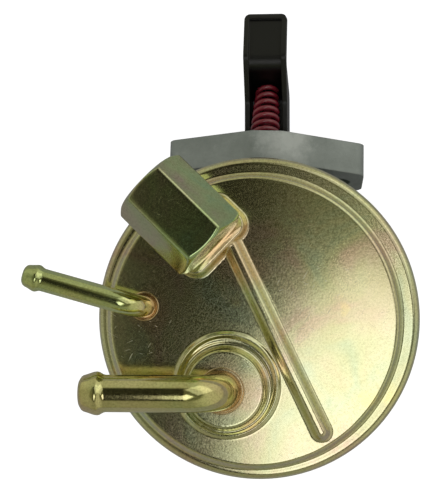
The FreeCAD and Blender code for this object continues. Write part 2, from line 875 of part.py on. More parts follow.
def spring_point(distance):
    """A point of the return spring's axis, measured from its end in the casting."""
    reach = f"(return_coil_length - {distance})"
    return (
        "0",
        f"pivot_forward + arm_level + return_coil_seat * cos(arm_rise_angle) - {reach} * sin(arm_rise_angle)",
        f"-pivot_depth + {ARM_TOP} + return_coil_seat * sin(arm_rise_angle) + {reach} * cos(arm_rise_angle)",
    )


def make_rocker_arm():
    body = new_body("rocker_arm")
    seat(body, "0", "pivot_forward", "-pivot_depth")
    eye = new_sketch(body, "eye", "YZ_Plane")
    circle(eye, "0", "0", "arm_drop")
    pad(body, eye, "arm_width", middle=True)
    side = new_sketch(body, "side", "YZ_Plane")
    outline(
        side,
        [
            ("0", ARM_UNDER),
            ("arm_level + arm_web * tan(arm_rise_angle / 2)", ARM_UNDER, "arm_bend + arm_web"),
            (
                f"{CREST_Y} + {CREST_REACH} * sin({CREST_LEAN})",
                f"{CREST_Z} - {CREST_REACH} * cos({CREST_LEAN})",
                "arm_bend",
            ),
            (TIP_Y, f"{TIP_Z} - arm_web / cos(arm_fall_angle)"),
            (TIP_Y, "arm_tip_rail", "arm_tip_round"),
            ("arm_crest", "arm_crest_rail", "arm_bend"),
            ("arm_rail_end", "arm_rail", "arm_bend"),
            ("arm_rail_start", "arm_rail"),
            ("0", "arm_drop"),
        ],
    )
    pad(body, side, "arm_width", middle=True)
    inside = new_sketch(body, "inside", "YZ_Plane")
    tip_inner = f"{TIP_Y} - arm_sheet"
    outline(
        inside,
        [
            ("-arm_drop - side_gap", "-arm_drop - side_gap"),
            ("arm_web_start", "-arm_drop - side_gap"),
            ("arm_web_start", ARM_TOP),
            ("arm_level", ARM_TOP, "arm_bend"),
            (CREST_Y, CREST_Z, "arm_bend + arm_web"),
            (tip_inner, f"{TIP_Z} + arm_sheet * tan(arm_fall_angle)"),
            (tip_inner, "arm_crest_rail + side_gap"),
            ("-arm_drop - side_gap", "arm_crest_rail + side_gap"),
        ],
    )
    pocket(body, inside, "arm_width - arm_sheet * 2", middle=True)
    bore = new_sketch(body, "bore", "YZ_Plane")
    circle(bore, "0", "0", "pin_radius + running_gap")
    pocket(body, bore, "arm_width", middle=True)
    return body


def make_pull_link():
    """A channel lever: a heel over the arm's web, an eye on the pin and a fork round the pull rod."""
    body = new_body("pull_link")
    seat(body, "0", "pivot_forward", "-pivot_depth")
    eye = new_sketch(body, "eye", "YZ_Plane")
    circle(eye, "0", "0", "link_eye")
    pad(body, eye, "link_width", middle=True)
    bar = new_sketch(body, "bar", "YZ_Plane")
    low = f"{ARM_TOP} + side_gap"
    outline(
        bar,
        [
            ("-pivot_forward - link_end", "-link_end", "link_end - seat_gap"),
            ("0", "-link_end"),
            ("0", low),
            ("link_heel", low, "1"),
            ("link_heel", "link_heel_top", "1"),
            ("0", "link_end"),
            ("-pivot_forward - link_end", "link_end", "link_end - seat_gap"),
        ],
    )
    pad(body, bar, "link_width", middle=True)
    inside = new_sketch(body, "inside", "YZ_Plane")
    outline(
        inside,
        [
            ("-pivot_forward - link_eye", "-link_eye"),
            ("link_heel", "-link_eye"),
            ("link_heel", "link_eye"),
            ("-link_web_start", "link_eye"),
            ("-link_web_start", "link_end - link_sheet"),
            ("-link_web_end", "link_end - link_sheet"),
            ("-link_web_end", "link_eye"),
            ("-pivot_forward - link_eye", "link_eye"),
        ],
    )
    pocket(body, inside, "link_width - link_sheet * 2", middle=True)
    bore = new_sketch(body, "bore", "YZ_Plane")
    circle(bore, "0", "0", "pin_radius + running_gap")
    pocket(body, bore, "link_width", middle=True)
    return body


def turned(label, corners, x="0", y="0", z="0", turn=None):
    """A body turned about its own upright axis."""
    body = new_body(label)
    seat(body, x, y, z, turn)
    profile = new_sketch(body, "profile", "XZ_Plane")
    outline(profile, corners)
    revolve(body, profile)
    return body


def ring(label, inner, outer, low, high, x="0", y="0", turn=None):
    """A flat ring."""
    corners = [(inner, low), (outer, low), (outer, high), (inner, high)]
    return turned(label, corners, x, y, "0", turn)


def make_pin_parts():
    """The pivot pin, and beside it a pair of plugs and a pair of spacers."""
    upright = "rotation(vector(0; 1; 0); 90)"
    pin = new_body("pivot_pin")
    seat(pin, "0", "pivot_forward", "-pivot_depth", upright)
    rod = new_sketch(pin, "rod", "XY_Plane")
    circle(rod, "0", "0", "pin_radius")
    pad(pin, rod, "pin_length", middle=True)
    near, far = "arm_width / 2 + side_gap", "cavity_width / 2 - side_gap"
    pairs = [
        ("pin_plugs", None, "plug_radius", "pin_length / 2", "plug_thickness"),
        ("arm_spacers", "pin_radius + running_gap", "spacer_radius", near, f"{far} - ({near})"),
    ]
    groups = [pin]
    for label, inner, outer, start, thickness in pairs:
        halves = []
        for name, side in (("left", "-"), ("right", "")):
            half = new_body(f"{name}_{label}")
            level = f"({start}) + ({thickness}) / 2"
            seat(half, f"{side}({level})", "pivot_forward", "-pivot_depth", upright)
            disc = new_sketch(half, "disc", "XY_Plane")
            circle(disc, "0", "0", outer)
            if inner:
                circle(disc, "0", "0", inner)
            pad(half, disc, thickness, middle=True)
            halves.append(half)
        group = doc.addObject("Part::Compound", label)
        group.Label = label
        group.Links = halves
        groups.append(group)
    return groups


def make_valve_body():
    body = turned(
        "valve_body",
        [
            ("0", "-body_floor_depth"),
            ("body_floor_radius", "-body_floor_depth"),
            ("body_mouth", DIAPHRAGM_TOP),
            (SEAT_RADIUS, DIAPHRAGM_TOP),
            (SEAT_RADIUS, VALVE_TOP),
            ("0", VALVE_TOP),
        ],
    )
    well = new_sketch(body, "well", "XY_Plane", offset("boss_x", "boss_y", f"{VALVE_TOP} - seat_gap"))
    circle(well, "0", "0", "well_radius")
    circle(well, "0", "0", "well_radius + well_wall")
    pad(body, well, f"{WELL_TOP} - ({VALVE_TOP}) + seat_gap")
    depth = f"body_floor_depth - body_floor + ({WELL_TOP})"
    inlet = new_sketch(body, "inlet_pocket", "XY_Plane", offset("0", "0", WELL_TOP))
    circle(inlet, "inlet_valve_x", "inlet_valve_y", "valve_pocket")
    pocket(body, inlet, depth)
    outlet = new_sketch(body, "outlet_pocket", "XY_Plane", offset("0", "0", VALVE_TOP))
    back, half, reach = "-outlet_pocket_back", "outlet_pocket_half", "outlet_pocket_reach"
    corner = "outlet_pocket_corner"
    outline(
        outlet,
        [
            (f"-{half}", back, corner),
            (half, back, corner),
            (half, "outlet_pocket_half / 2", corner),
            (f"{half} / 3", reach, corner),
            (f"-{half} / 3", reach, corner),
            (f"-{half}", "outlet_pocket_half / 2", corner),
        ],
    )
    pocket(body, outlet, f"body_floor_depth - body_floor + ({VALVE_TOP})")
    bosses = new_sketch(body, "bosses", "XY_Plane", offset("0", "0", "-body_floor_depth"))
    bores = new_sketch(body, "bores", "XY_Plane", offset("0", "0", "-body_floor_depth"))
    for kind in ("inlet", "outlet"):
        place = (f"{kind}_valve_x", f"{kind}_valve_y")
        circle(bosses, *place, "cage_radius + valve_boss_wall")
        circle(bores, *place, "cage_radius + seat_gap")
    pad(body, bosses, "body_floor_depth - valve_boss_depth")
    pocket(body, bores, "body_floor_depth", reverse=True)
    return body


def make_valve(kind, turn, level, flow):
    """A cage with its disc and spring. The fuel leaves each cage along its own +Z."""
    place = (f"{kind}_valve_x", f"{kind}_valve_y", level, turn)
    lip_top = "cage_floor + seat_rise"
    ceiling = "cage_height - cage_floor"
    cage = turned(
        f"{kind}_valve_cage",
        [
            ("cage_port", "0"),
            ("cage_radius", "0"),
            ("cage_radius", "cage_height"),
            ("0", "cage_height"),
            ("0", f"{ceiling} - cage_post_length"),
            ("cage_post", f"{ceiling} - cage_post_length"),
            ("cage_post", ceiling),
            ("cage_radius - cage_wall", ceiling),
            ("cage_radius - cage_wall", "cage_floor"),
            ("cage_port + seat_lip", "cage_floor"),
            ("cage_port + seat_lip", lip_top),
            ("cage_port", lip_top),
        ],
        *place,
    )
    hole = new_sketch(cage, "hole", "XY_Plane", offset("0", "0", "cage_height"))
    circle(hole, "cage_hole_circle", "0", "cage_hole")
    first = pocket(cage, hole, "cage_floor")
    pattern = cage.newObject("PartDesign::PolarPattern", f"{cage.Label}_holes")
    pattern.Originals = [first]
    pattern.Axis = (hole, ["N_Axis"])
    pattern.Angle = 360
    bind(pattern, Occurrences="hole_count")
    cage.Tip = pattern
    disc = turned(
        f"{kind}_valve_disc",
        [
            ("0", lip_top),
            ("disc_radius", lip_top),
            ("disc_radius", f"{lip_top} + disc_thickness"),
            ("0", f"{lip_top} + disc_thickness"),
        ],
        *place,
    )
    foot = f"({lip_top} + disc_thickness + seat_gap)"
    spring = coil(
        f"{kind}_valve_spring",
        "valve_coil_radius",
        "valve_coil_radius",
        "valve_coil_wire",
        "valve_coil_turns",
        f"{ceiling} - seat_gap - {foot}",
        3,
    )
    seat(spring, *place[:2], f"{level} {flow} ({foot} + valve_coil_wire)", turn)
    return [cage, disc, spring]


def coil(label, base, top, wire, turns, length, sides):
    """A coil spring of polygonal wire, upright from its first wire's middle."""
    height = value(length) - 2 * value(wire)
    angle = math.degrees(math.atan2(value(top) - value(base), height))
    path = Part.makeLongHelix(height / value(turns), height, value(base), angle)
    corners = []
    for index in range(sides + 1):
        bearing = math.radians((index + 0.5) * 360 / sides)
        across, up = value(wire) * math.cos(bearing), value(wire) * math.sin(bearing)
        corners.append(Vector(value(base) + across, 0, up))
    wound = Part.Wire(path.Edges).makePipeShell([Part.makePolygon(corners)], True, True)
    spring = doc.addObject("Part::Feature", label)
    spring.Label = label
    spring.Shape = wound
    return spring


def make_springs():
    reach = "return_coil_length - side_gap - seat_gap"
    outer = coil(
        "return_spring",
        "return_coil_base",
        "return_coil_top",
        "return_coil_wire",
        "return_coil_turns",
        reach,
        4,
    )
    seat(outer, *spring_point("(seat_gap + return_coil_wire)"), SPRING_TURN)
    free = f"bowl_depth + {CENTRE_LOW} - plate_thickness - seat_gap - side_gap"
    inner = coil("diaphragm_spring", "coil_radius", "coil_radius", "coil_wire", "coil_turns", free, 4)
    seat(inner, "0", "0", "-bowl_depth + seat_gap + coil_wire")
    return [outer, inner]


def make_diaphragm():
    """The clamped diaphragm and the pieces riveted to its centre."""
    bore = "rod_radius + seat_gap"
    drop = f"centre_depth + ({DIAPHRAGM_TOP})"
    skew = f"diaphragm_thickness * tan(atan(({drop}) / (clamp_inner - centre_radius)) / 2)"
    membrane = turned(
        "diaphragm",
        [
            (bore, CENTRE_LOW),
            (f"centre_radius + {skew}", CENTRE_LOW),
            (f"clamp_inner + {skew}", BOWL_TOP),
            (SEAT_RADIUS, BOWL_TOP),
            (SEAT_RADIUS, DIAPHRAGM_TOP),
            ("clamp_inner", DIAPHRAGM_TOP),
            ("centre_radius", "-centre_depth"),
            (bore, "-centre_depth"),
        ],
    )
    parts = [membrane]
    for label, level, side in (
        ("fuel_plate", "-centre_depth", ""),
        ("spring_plate", CENTRE_LOW, "-"),
    ):
        outer, thin = "plate_radius", "plate_thickness"
        rise = f"{side}plate_thickness"
        edge = f"{side}(plate_thickness + plate_edge)"
        parts.append(
            turned(
                label,
                [
                    (bore, "0"),
                    ("plate_radius - plate_edge", "0"),
                    (outer, edge),
                    (f"{outer} - {thin}", edge),
                    (f"plate_radius - plate_edge - {thin} / 2", rise),
                    (bore, rise),
                ],
                z=level,
            )
        )
    washer_low = "-centre_depth + plate_thickness"
    washer_high = f"{washer_low} + washer_thickness"
    parts.append(ring("rod_washer", bore, "washer_radius", washer_low, washer_high))
    parts.append(
        turned(
            "pull_rod",
            [
                ("0", f"{washer_high} + rivet_height"),
                ("rivet_radius", f"{washer_high} + rivet_height"),
                ("rivet_radius", washer_high),
                ("rod_radius", washer_high),
                ("rod_radius", ROD_HEAD_TOP),
                ("rod_head_radius", ROD_HEAD_TOP),
                ("rod_head_radius", f"{ROD_HEAD_TOP} - rod_head"),
                ("0", f"{ROD_HEAD_TOP} - rod_head"),
            ],
        )
    )
    return parts


def make_seals():
    low = "-bowl_depth + guide_rise - seal_depth"
    top = f"{low} + seal_thickness"
    gasket_low = "-cover_sheet - gasket_thickness"
    return [
        ring("rod_seal", "rod_radius + running_gap", "seal_radius - seat_gap", low, top),
        ring("seal_retainer", "rod_radius + side_gap", "seal_radius - seat_gap", top, f"{top} + retainer_thickness"),
        ring("cover_gasket", "body_mouth", SEAT_RADIUS, gasket_low, "-cover_sheet"),
        ring("well_gasket", "well_radius", "well_radius + well_wall", WELL_TOP, PANEL_UNDER, "boss_x", "boss_y"),
    ]


# All pieces
def main():
    flipped = "rotation(vector(1; 0; 0); 180)"
    pieces = [
        make_fuel_cover(),
        make_hose_tube("inlet_tube", "inlet", "panel_rise + boss_rise"),
        make_hose_tube("return_tube", "return", "panel_rise"),
        make_outlet_fitting(),
        make_housing(),
        make_valve_body(),
        make_rocker_arm(),
        make_pull_link(),
        *make_valve("inlet", flipped, "-body_floor_depth + cage_height", "-"),
        *make_valve("outlet", None, "-body_floor_depth", "+"),
        *make_diaphragm(),
        *make_seals(),
        *make_springs(),
        *make_pin_parts(),
    ]
    doc.recompute()
    faults = [item.Name for item in doc.Objects if {"Invalid", "Error"} & set(item.State)]
    if faults:
        raise RuntimeError(f"failed: {faults}")
    os.makedirs("parts", exist_ok=True)
    for piece in pieces:
        shape = piece.Shape
        if shape.isNull() or not shape.isValid():
            raise RuntimeError(f"{piece.Label}: no valid shape")
        print(piece.Label, round(shape.Volume, 1), len(shape.Solids))
        shape.exportStep(f"parts/{piece.Label}.step")


main()
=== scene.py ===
import math

import bpy
import numpy as np
from mathutils import Matrix, Vector


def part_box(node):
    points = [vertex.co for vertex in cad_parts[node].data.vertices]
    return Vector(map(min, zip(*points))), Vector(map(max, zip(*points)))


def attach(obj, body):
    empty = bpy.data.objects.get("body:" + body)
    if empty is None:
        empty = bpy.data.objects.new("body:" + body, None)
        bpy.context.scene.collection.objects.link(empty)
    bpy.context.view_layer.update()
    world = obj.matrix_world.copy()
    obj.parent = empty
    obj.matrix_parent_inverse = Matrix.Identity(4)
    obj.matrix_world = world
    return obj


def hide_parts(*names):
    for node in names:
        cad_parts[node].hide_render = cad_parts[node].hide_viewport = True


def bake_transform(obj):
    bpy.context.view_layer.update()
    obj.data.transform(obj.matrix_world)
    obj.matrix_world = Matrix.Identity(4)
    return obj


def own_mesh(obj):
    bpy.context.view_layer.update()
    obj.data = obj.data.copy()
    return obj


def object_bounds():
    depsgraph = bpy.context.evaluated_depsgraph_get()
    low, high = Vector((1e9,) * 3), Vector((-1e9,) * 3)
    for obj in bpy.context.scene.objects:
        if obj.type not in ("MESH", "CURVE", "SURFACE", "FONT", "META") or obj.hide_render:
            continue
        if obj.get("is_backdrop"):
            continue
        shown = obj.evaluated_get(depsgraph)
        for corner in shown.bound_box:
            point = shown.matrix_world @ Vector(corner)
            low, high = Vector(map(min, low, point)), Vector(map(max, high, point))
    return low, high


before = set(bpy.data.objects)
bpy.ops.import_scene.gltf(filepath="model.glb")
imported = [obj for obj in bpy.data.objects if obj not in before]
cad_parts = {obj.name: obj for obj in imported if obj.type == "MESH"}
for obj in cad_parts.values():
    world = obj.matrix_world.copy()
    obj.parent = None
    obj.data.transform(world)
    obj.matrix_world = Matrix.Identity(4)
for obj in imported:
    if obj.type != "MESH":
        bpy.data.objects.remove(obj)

cad_low, cad_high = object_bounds()

# Places below are in millimetres from the bowl's axis at the cover's rim land.
SHIFT = np.array([0.0, -60.7, 44.0])


def row(points):
    return (np.asarray(points, float) + SHIFT) / 1000.0


def smooth(t):
    t = np.clip(t, 0.0, 1.0)
    return t * t * (3.0 - 2.0 * t)


def bump(distance, half):
    """A smooth ridge across its middle line."""
    t = np.clip(np.abs(distance) / half, 0.0, 1.0)
    return 0.5 * (1.0 + np.cos(math.pi * t))


# Meshes
def add_mesh(name, points, faces, material):
    mesh = bpy.data.meshes.new(name)
    mesh.from_pydata([tuple(p) for p in points], [], [tuple(f) for f in faces])
    mesh.update()
    item = bpy.data.objects.new(name, mesh)
    bpy.context.scene.collection.objects.link(item)
    mesh.materials.append(material)
    mesh.polygons.foreach_set("use_smooth", [True] * len(mesh.polygons))
    return item


def lattice_faces(rows, columns):
    """Quads between rings of points. Each ring closes on itself."""
    i, j = np.meshgrid(np.arange(rows - 1), np.arange(columns), indexing="ij")
    k = (j + 1) % columns
    here, beyond = i * columns, (i + 1) * columns
    return np.stack([here + j, here + k, beyond + k, beyond + j], -1).reshape(-1, 4).tolist()


def first_cap(columns):
    """A face that closes the first ring."""
    return list(range(columns))[::-1]


def last_cap(rows, columns):
    """A face that closes the last ring."""
    return [(rows - 1) * columns + k for k in range(columns)]


def turned(name, profile, material, place, steps=96):
    """A surface turned about an upright axis. The profile is a list of (height, radius)."""
    angle = np.linspace(0, 2 * math.pi, steps, endpoint=False)
    ring = np.stack([np.cos(angle), np.sin(angle), np.zeros(steps)], -1)
    up = np.array([0.0, 0.0, 1.0])
    points = [np.asarray(place) + up * level + ring * radius for level, radius in profile]
    points = row(np.vstack(points))
    return add_mesh(name, points, lattice_faces(len(profile), steps), material)


def rounded(profile, radius, steps=5):
    """Rounds every corner of an open profile but its two ends."""
    out = [tuple(profile[0])]
    for before, here, after in zip(profile, profile[1:], profile[2:]):
        a, b, c = (np.array(p, float) for p in (before, here, after))
        reach = min(radius, 0.45 * np.linalg.norm(a - b), 0.45 * np.linalg.norm(c - b))
        if reach < 1e-4:
            out.append(tuple(b))
            continue
        first = b + (a - b) / np.linalg.norm(a - b) * reach
        last = b + (c - b) / np.linalg.norm(c - b) * reach
        for t in np.linspace(0, 1, steps):
            out.append(tuple((1 - t) ** 2 * first + 2 * t * (1 - t) * b + t * t * last))
    out.append(tuple(profile[-1]))
    return out


# Materials
class Nodes:
    """Short calls to build a material's node tree."""

    def __init__(self, name):
        self.material = bpy.data.materials.new(name)
        self.material.use_nodes = True
        self.tree = self.material.node_tree
        self.tree.nodes.clear()
        self.out = self.tree.nodes.new("ShaderNodeOutputMaterial")
        self.shader = self.tree.nodes.new("ShaderNodeBsdfPrincipled")
        self.tree.links.new(self.shader.outputs[0], self.out.inputs["Surface"])
        self.place = self.tree.nodes.new("ShaderNodeTexCoord").outputs["Object"]

    def set(self, **values):
        for key, value in values.items():
            self.shader.inputs[key.replace("_", " ")].default_value = value

    def link(self, output, target):
        self.tree.links.new(output, target)

    def stretch(self, scale, turn=(0, 0, 0)):
        turned_place = self.tree.nodes.new("ShaderNodeMapping")
        turned_place.inputs["Rotation"].default_value = turn
        self.link(self.place, turned_place.inputs["Vector"])
        node = self.tree.nodes.new("ShaderNodeMapping")
        node.inputs["Scale"].default_value = scale
        self.link(turned_place.outputs["Vector"], node.inputs["Vector"])
        return node.outputs["Vector"]

    def noise(self, scale, detail=4.0, roughness=0.55, vector=None, distortion=0.0):
        node = self.tree.nodes.new("ShaderNodeTexNoise")
        node.inputs["Scale"].default_value = scale
        node.inputs["Detail"].default_value = detail
        node.inputs["Roughness"].default_value = roughness
        node.inputs["Distortion"].default_value = distortion
        self.link(vector or self.place, node.inputs["Vector"])
        return node.outputs[0]

    def ramp(self, value, stops):
        node = self.tree.nodes.new("ShaderNodeValToRGB")
        elements = node.color_ramp.elements
        while len(elements) < len(stops):
            elements.new(0.5)
        for element, (position, colour) in zip(elements, stops):
            element.position = position
            element.color = (*colour, 1.0)
        self.link(value, node.inputs["Fac"])
        return node.outputs["Color"]

    def span(self, value, low, high, to_low, to_high):
        node = self.tree.nodes.new("ShaderNodeMapRange")
        ends = (("From Min", low), ("From Max", high), ("To Min", to_low), ("To Max", to_high))
        for key, number in ends:
            node.inputs[key].default_value = number
        self.link(value, node.inputs["Value"])
        return node.outputs["Result"]

    def sum(self, first, second, kind="ADD"):
        node = self.tree.nodes.new("ShaderNodeMath")
        node.operation = kind
        for value, slot in ((first, 0), (second, 1)):
            if isinstance(value, (int, float)):
                node.inputs[slot].default_value = value
            else:
                self.link(value, node.inputs[slot])
        return node.outputs[0]

    def fade(self, value, share):
        return self.sum(value, share, "MULTIPLY")

    def mix(self, factor, first, second, kind="MIX"):
        node = self.tree.nodes.new("ShaderNodeMix")
        node.data_type = "RGBA"
        node.blend_type = kind
        for value, slot in ((factor, 0), (first, 6), (second, 7)):
            if isinstance(value, (int, float)):
                node.inputs[slot].default_value = value
            elif isinstance(value, tuple):
                node.inputs[slot].default_value = (*value, 1.0)
            else:
                self.link(value, node.inputs[slot])
        return node.outputs[2]

    def spot(self, place, reach):
        """One at a place given in millimetres, falling to nothing at its reach."""
        x, y, z = row(place)
        move = self.tree.nodes.new("ShaderNodeMapping")
        move.inputs["Location"].default_value = (-x, -y, -z)
        self.link(self.place, move.inputs["Vector"])
        shrink = self.tree.nodes.new("ShaderNodeMapping")
        shrink.inputs["Scale"].default_value = (1000.0 / reach,) * 3
        self.link(move.outputs["Vector"], shrink.inputs["Vector"])
        ball = self.tree.nodes.new("ShaderNodeTexGradient")
        ball.gradient_type = "SPHERICAL"
        self.link(shrink.outputs["Vector"], ball.inputs["Vector"])
        return ball.outputs[1]

    def relief(self, heights, rounding=None):
        """Chains bumps. Each is (height, strength, distance in metres)."""
        normal = None
        if rounding:
            bevel = self.tree.nodes.new("ShaderNodeBevel")
            bevel.samples = 6
            bevel.inputs["Radius"].default_value = rounding
            normal = bevel.outputs["Normal"]
        for height, strength, distance in heights:
            node = self.tree.nodes.new("ShaderNodeBump")
            node.inputs["Strength"].default_value = strength
            node.inputs["Distance"].default_value = distance
            self.link(height, node.inputs["Height"])
            if normal is not None:
                self.link(normal, node.inputs["Normal"])
            normal = node.outputs["Normal"]
        self.link(normal, self.shader.inputs["Normal"])


BLACK_RGB = (0.0, 0.0, 0.0)
WHITE_RGB = (1.0, 1.0, 1.0)
# The plating film's drift from green through gold to rose
FILM = [
    (0.32, (0.74, 0.95, 0.80)), (0.44, (0.94, 1.0, 0.72)),
    (0.54, (1.0, 0.94, 0.72)), (0.68, (1.0, 0.74, 0.78)),
]
# Warm tint: heat tint by the brazed joints, and a painted reflection by the hexagon fitting's inner end
HEAT_AND_REFLECTION_TINT = (0.88, 0.68, 0.44)
PIT_TINT = (0.60, 0.60, 0.55)
BLOTCH_TINT = (1.0, 0.86, 0.34)
SCRATCH_TINT = (1.0, 0.95, 0.75)
PALE_PATCH_TINT = (0.60, 0.62, 0.58)
# Each direction of fine scratches: its turn in radians and how much finer it is across
SCRATCHES = ((0.5, 12.0), (2.1, 18.0), (1.2, 15.0))


def zinc(name, pale, deep, tint, roughness, grain=0.5, scratch=0.0, heat_and_reflection=()):
    """Yellow zinc plating: gold to olive with a rose and green drift, speckle and fine scratches."""
    m = Nodes(name)
    m.set(Metallic=1.0, Roughness=roughness)
    base = m.ramp(m.noise(30.0, 4.0, 0.6), [(0.32, deep), (0.64, pale)])
    drift = m.noise(40.0, 3.0, 0.55, distortion=0.8)
    base = m.mix(tint, base, m.ramp(drift, FILM), "MULTIPLY")
    # Tints warm round each given place: heat tint from brazing, and near the fitting's inner end a painted
    # reflection
    for place, reach in heat_and_reflection:
        uneven = m.span(drift, 0.3, 0.7, -0.12, 0.12)
        warm = m.span(m.sum(m.spot(place, reach), uneven), 0.05, 0.55, 0.0, 0.9)
        base = m.mix(warm, base, HEAT_AND_REFLECTION_TINT)
    speck = m.noise(1300.0, 4.0, 0.75)
    base = m.mix(0.6, base, m.ramp(speck, [(0.36, PIT_TINT), (0.58, WHITE_RGB)]), "MULTIPLY")
    blotch = m.ramp(m.noise(75.0, 2.0, 0.5), [(0.68, BLACK_RGB), (0.78, (0.5, 0.5, 0.5))])
    base = m.mix(blotch, base, BLOTCH_TINT)
    rough = m.span(speck, 0.3, 0.7, roughness - 0.03, roughness + 0.03)
    heights = [(m.noise(50.0, 2.0, 0.5), 0.5, 0.00006), (m.noise(1500.0, 3.0, 0.6), grain, 0.000016)]
    for turn, stretch in SCRATCHES if scratch else ():
        fine = m.noise(170.0, 1.0, 0.5, m.stretch((stretch, 1.0, 1.0), (0, 0, turn)))
        patches = m.ramp(m.noise(24.0, 1.0, 0.5), [(0.5, BLACK_RGB), (0.62, WHITE_RGB)])
        line = m.fade(m.ramp(fine, [(0.735, BLACK_RGB), (0.76, WHITE_RGB)]), patches)
        base = m.mix(m.fade(line, scratch), base, SCRATCH_TINT)
        rough = m.sum(rough, m.fade(line, 0.4 * scratch))
    m.link(base, m.shader.inputs["Base Color"])
    m.link(rough, m.shader.inputs["Roughness"])
    m.relief(heights)
    return m.material


def cast(name, colour, dark, patches=()):
    """Die-cast alloy, dull, with a fine pitted grain and paler patches at the given places."""
    m = Nodes(name)
    m.set(Metallic=0.35, Roughness=0.5)
    cloud = m.ramp(m.noise(60.0, 6.0, 0.68), [(0.3, dark), (0.7, colour)])
    patchy = m.noise(260.0, 5.0, 0.7)
    # Paler towards each given place, unevenly
    for place, reach in patches:
        uneven = m.span(patchy, 0.3, 0.7, -0.2, 0.2)
        patch_share = m.span(m.sum(m.spot(place, reach), uneven), 0.1, 0.6, 0.0, 0.6)
        cloud = m.mix(patch_share, cloud, PALE_PATCH_TINT)
    m.link(cloud, m.shader.inputs["Base Color"])
    grain = m.noise(900.0, 5.0, 0.65)
    m.link(m.span(grain, 0.3, 0.7, 0.40, 0.58), m.shader.inputs["Roughness"])
    m.relief([(grain, 0.4, 0.0002), (patchy, 0.3, 0.0003)], rounding=0.0007)
    return m.material


def plain(name, colour, metallic, roughness, grain=0.2, rounding=0.0004, specular=0.5):
    """A slightly uneven colour with a fine grain and edges rounded in shading, in metres."""
    m = Nodes(name)
    m.set(Metallic=metallic, Roughness=roughness)
    m.shader.inputs["Specular IOR Level"].default_value = specular
    shade = m.noise(120.0, 4.0, 0.6)
    dim = tuple(c * 0.72 for c in colour)
    m.link(m.ramp(shade, [(0.35, dim), (0.65, colour)]), m.shader.inputs["Base Color"])
    m.relief([(m.noise(800.0, 4.0, 0.6), grain, 0.0001)], rounding=rounding)
    return m.material


# Places with heat tint from brazing, each with its reach; by the hexagon's inner end (the first place) the
# tint is also a painted reflection of the fitting's end on the panel
HEAT_AND_REFLECTION_SPOTS = [
    ((-14.0, 24.0, 4.0), 13.0), ((-38.0, 3.0, 2.2), 10.0),
    ((-10.9, -24.2, 6.0), 12.5), ((-4.0, 18.0, 4.0), 11.0),
]
COVER = zinc(
    "zinc_cover", pale=(0.86, 0.82, 0.62), deep=(0.76, 0.72, 0.48),
    tint=0.6, roughness=0.14, grain=0.5, scratch=0.5, heat_and_reflection=HEAT_AND_REFLECTION_SPOTS,
)
TUBE = zinc(
    "zinc_tube", pale=(0.88, 0.82, 0.48), deep=(0.76, 0.71, 0.36),
    tint=0.5, roughness=0.12, grain=0.4, heat_and_reflection=[((-10.0, -25.0, 4.0), 8.0)],
)
SMALL_TUBE = zinc(
    "zinc_small_tube", pale=(0.80, 0.82, 0.44), deep=(0.68, 0.70, 0.34),
    tint=0.55, roughness=0.12, grain=0.3, heat_and_reflection=[((-39.0, 4.0, 5.0), 9.0)],
)
# The hexagon's warm spot at its inner end is a painted reflection from below, together with heat tint from
# brazing
HEX = zinc(
    "zinc_hexagon", pale=(0.64, 0.75, 0.50), deep=(0.50, 0.61, 0.40),
    tint=0.9, roughness=0.15, grain=0.6, scratch=0.2, heat_and_reflection=[((-13.5, 25.0, 8.0), 10.0)],
)
BRAZE = plain("braze", (0.80, 0.62, 0.38), 1.0, 0.2, grain=0.1, rounding=0.0)
# A paler patch on the flange's top edge, right of its ridge
CAST = cast("cast_housing", (0.33, 0.36, 0.33), (0.22, 0.245, 0.22), [((7.0, 62.5, -28.0), 14.0)])
CAST_INNER = cast("cast_valve_body", (0.55, 0.55, 0.53), (0.45, 0.45, 0.43))
BLACK = plain("black_arm", (0.003, 0.0032, 0.003), 0.0, 0.32, grain=0.25, rounding=0.0006, specular=0.55)
RED = plain("red_spring", (0.20, 0.014, 0.026), 0.0, 0.20, grain=0.1, rounding=0.0, specular=1.0)
STEEL = plain("steel", (0.52, 0.52, 0.52), 1.0, 0.34)
WIRE = plain("plain_spring", (0.40, 0.40, 0.40), 1.0, 0.30, grain=0.1, rounding=0.0)
BRASS = plain("cage_brass", (0.70, 0.54, 0.26), 1.0, 0.34)
RUBBER = plain("seal_rubber", (0.03, 0.03, 0.03), 0.0, 0.6)
CLOTH = plain("cloth_rubber", (0.05, 0.045, 0.04), 0.0, 0.75)
FIBRE = plain("gasket_fibre", (0.22, 0.17, 0.12), 0.0, 0.8)

CAD_LOOKS = {
    "housing": CAST,
    "valve_body": CAST_INNER,
    "rocker_arm": BLACK,
    "pull_link": STEEL,
    "inlet_valve_cage": BRASS,
    "outlet_valve_cage": BRASS,
    "inlet_valve_disc": RUBBER,
    "outlet_valve_disc": RUBBER,
    "inlet_valve_spring": WIRE,
    "outlet_valve_spring": WIRE,
    "diaphragm_spring": WIRE,
    "diaphragm": CLOTH,
    "fuel_plate": STEEL,
    "spring_plate": STEEL,
    "rod_washer": STEEL,
    "pull_rod": STEEL,
    "rod_seal": RUBBER,
    "seal_retainer": STEEL,
    "cover_gasket": FIBRE,
    "well_gasket": FIBRE,
    "pivot_pin": STEEL,
    "pin_plugs": STEEL,
    "arm_spacers": STEEL,
}
for node, material in CAD_LOOKS.items():
    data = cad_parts[node].data
    data.materials.clear()
    data.materials.append(material)


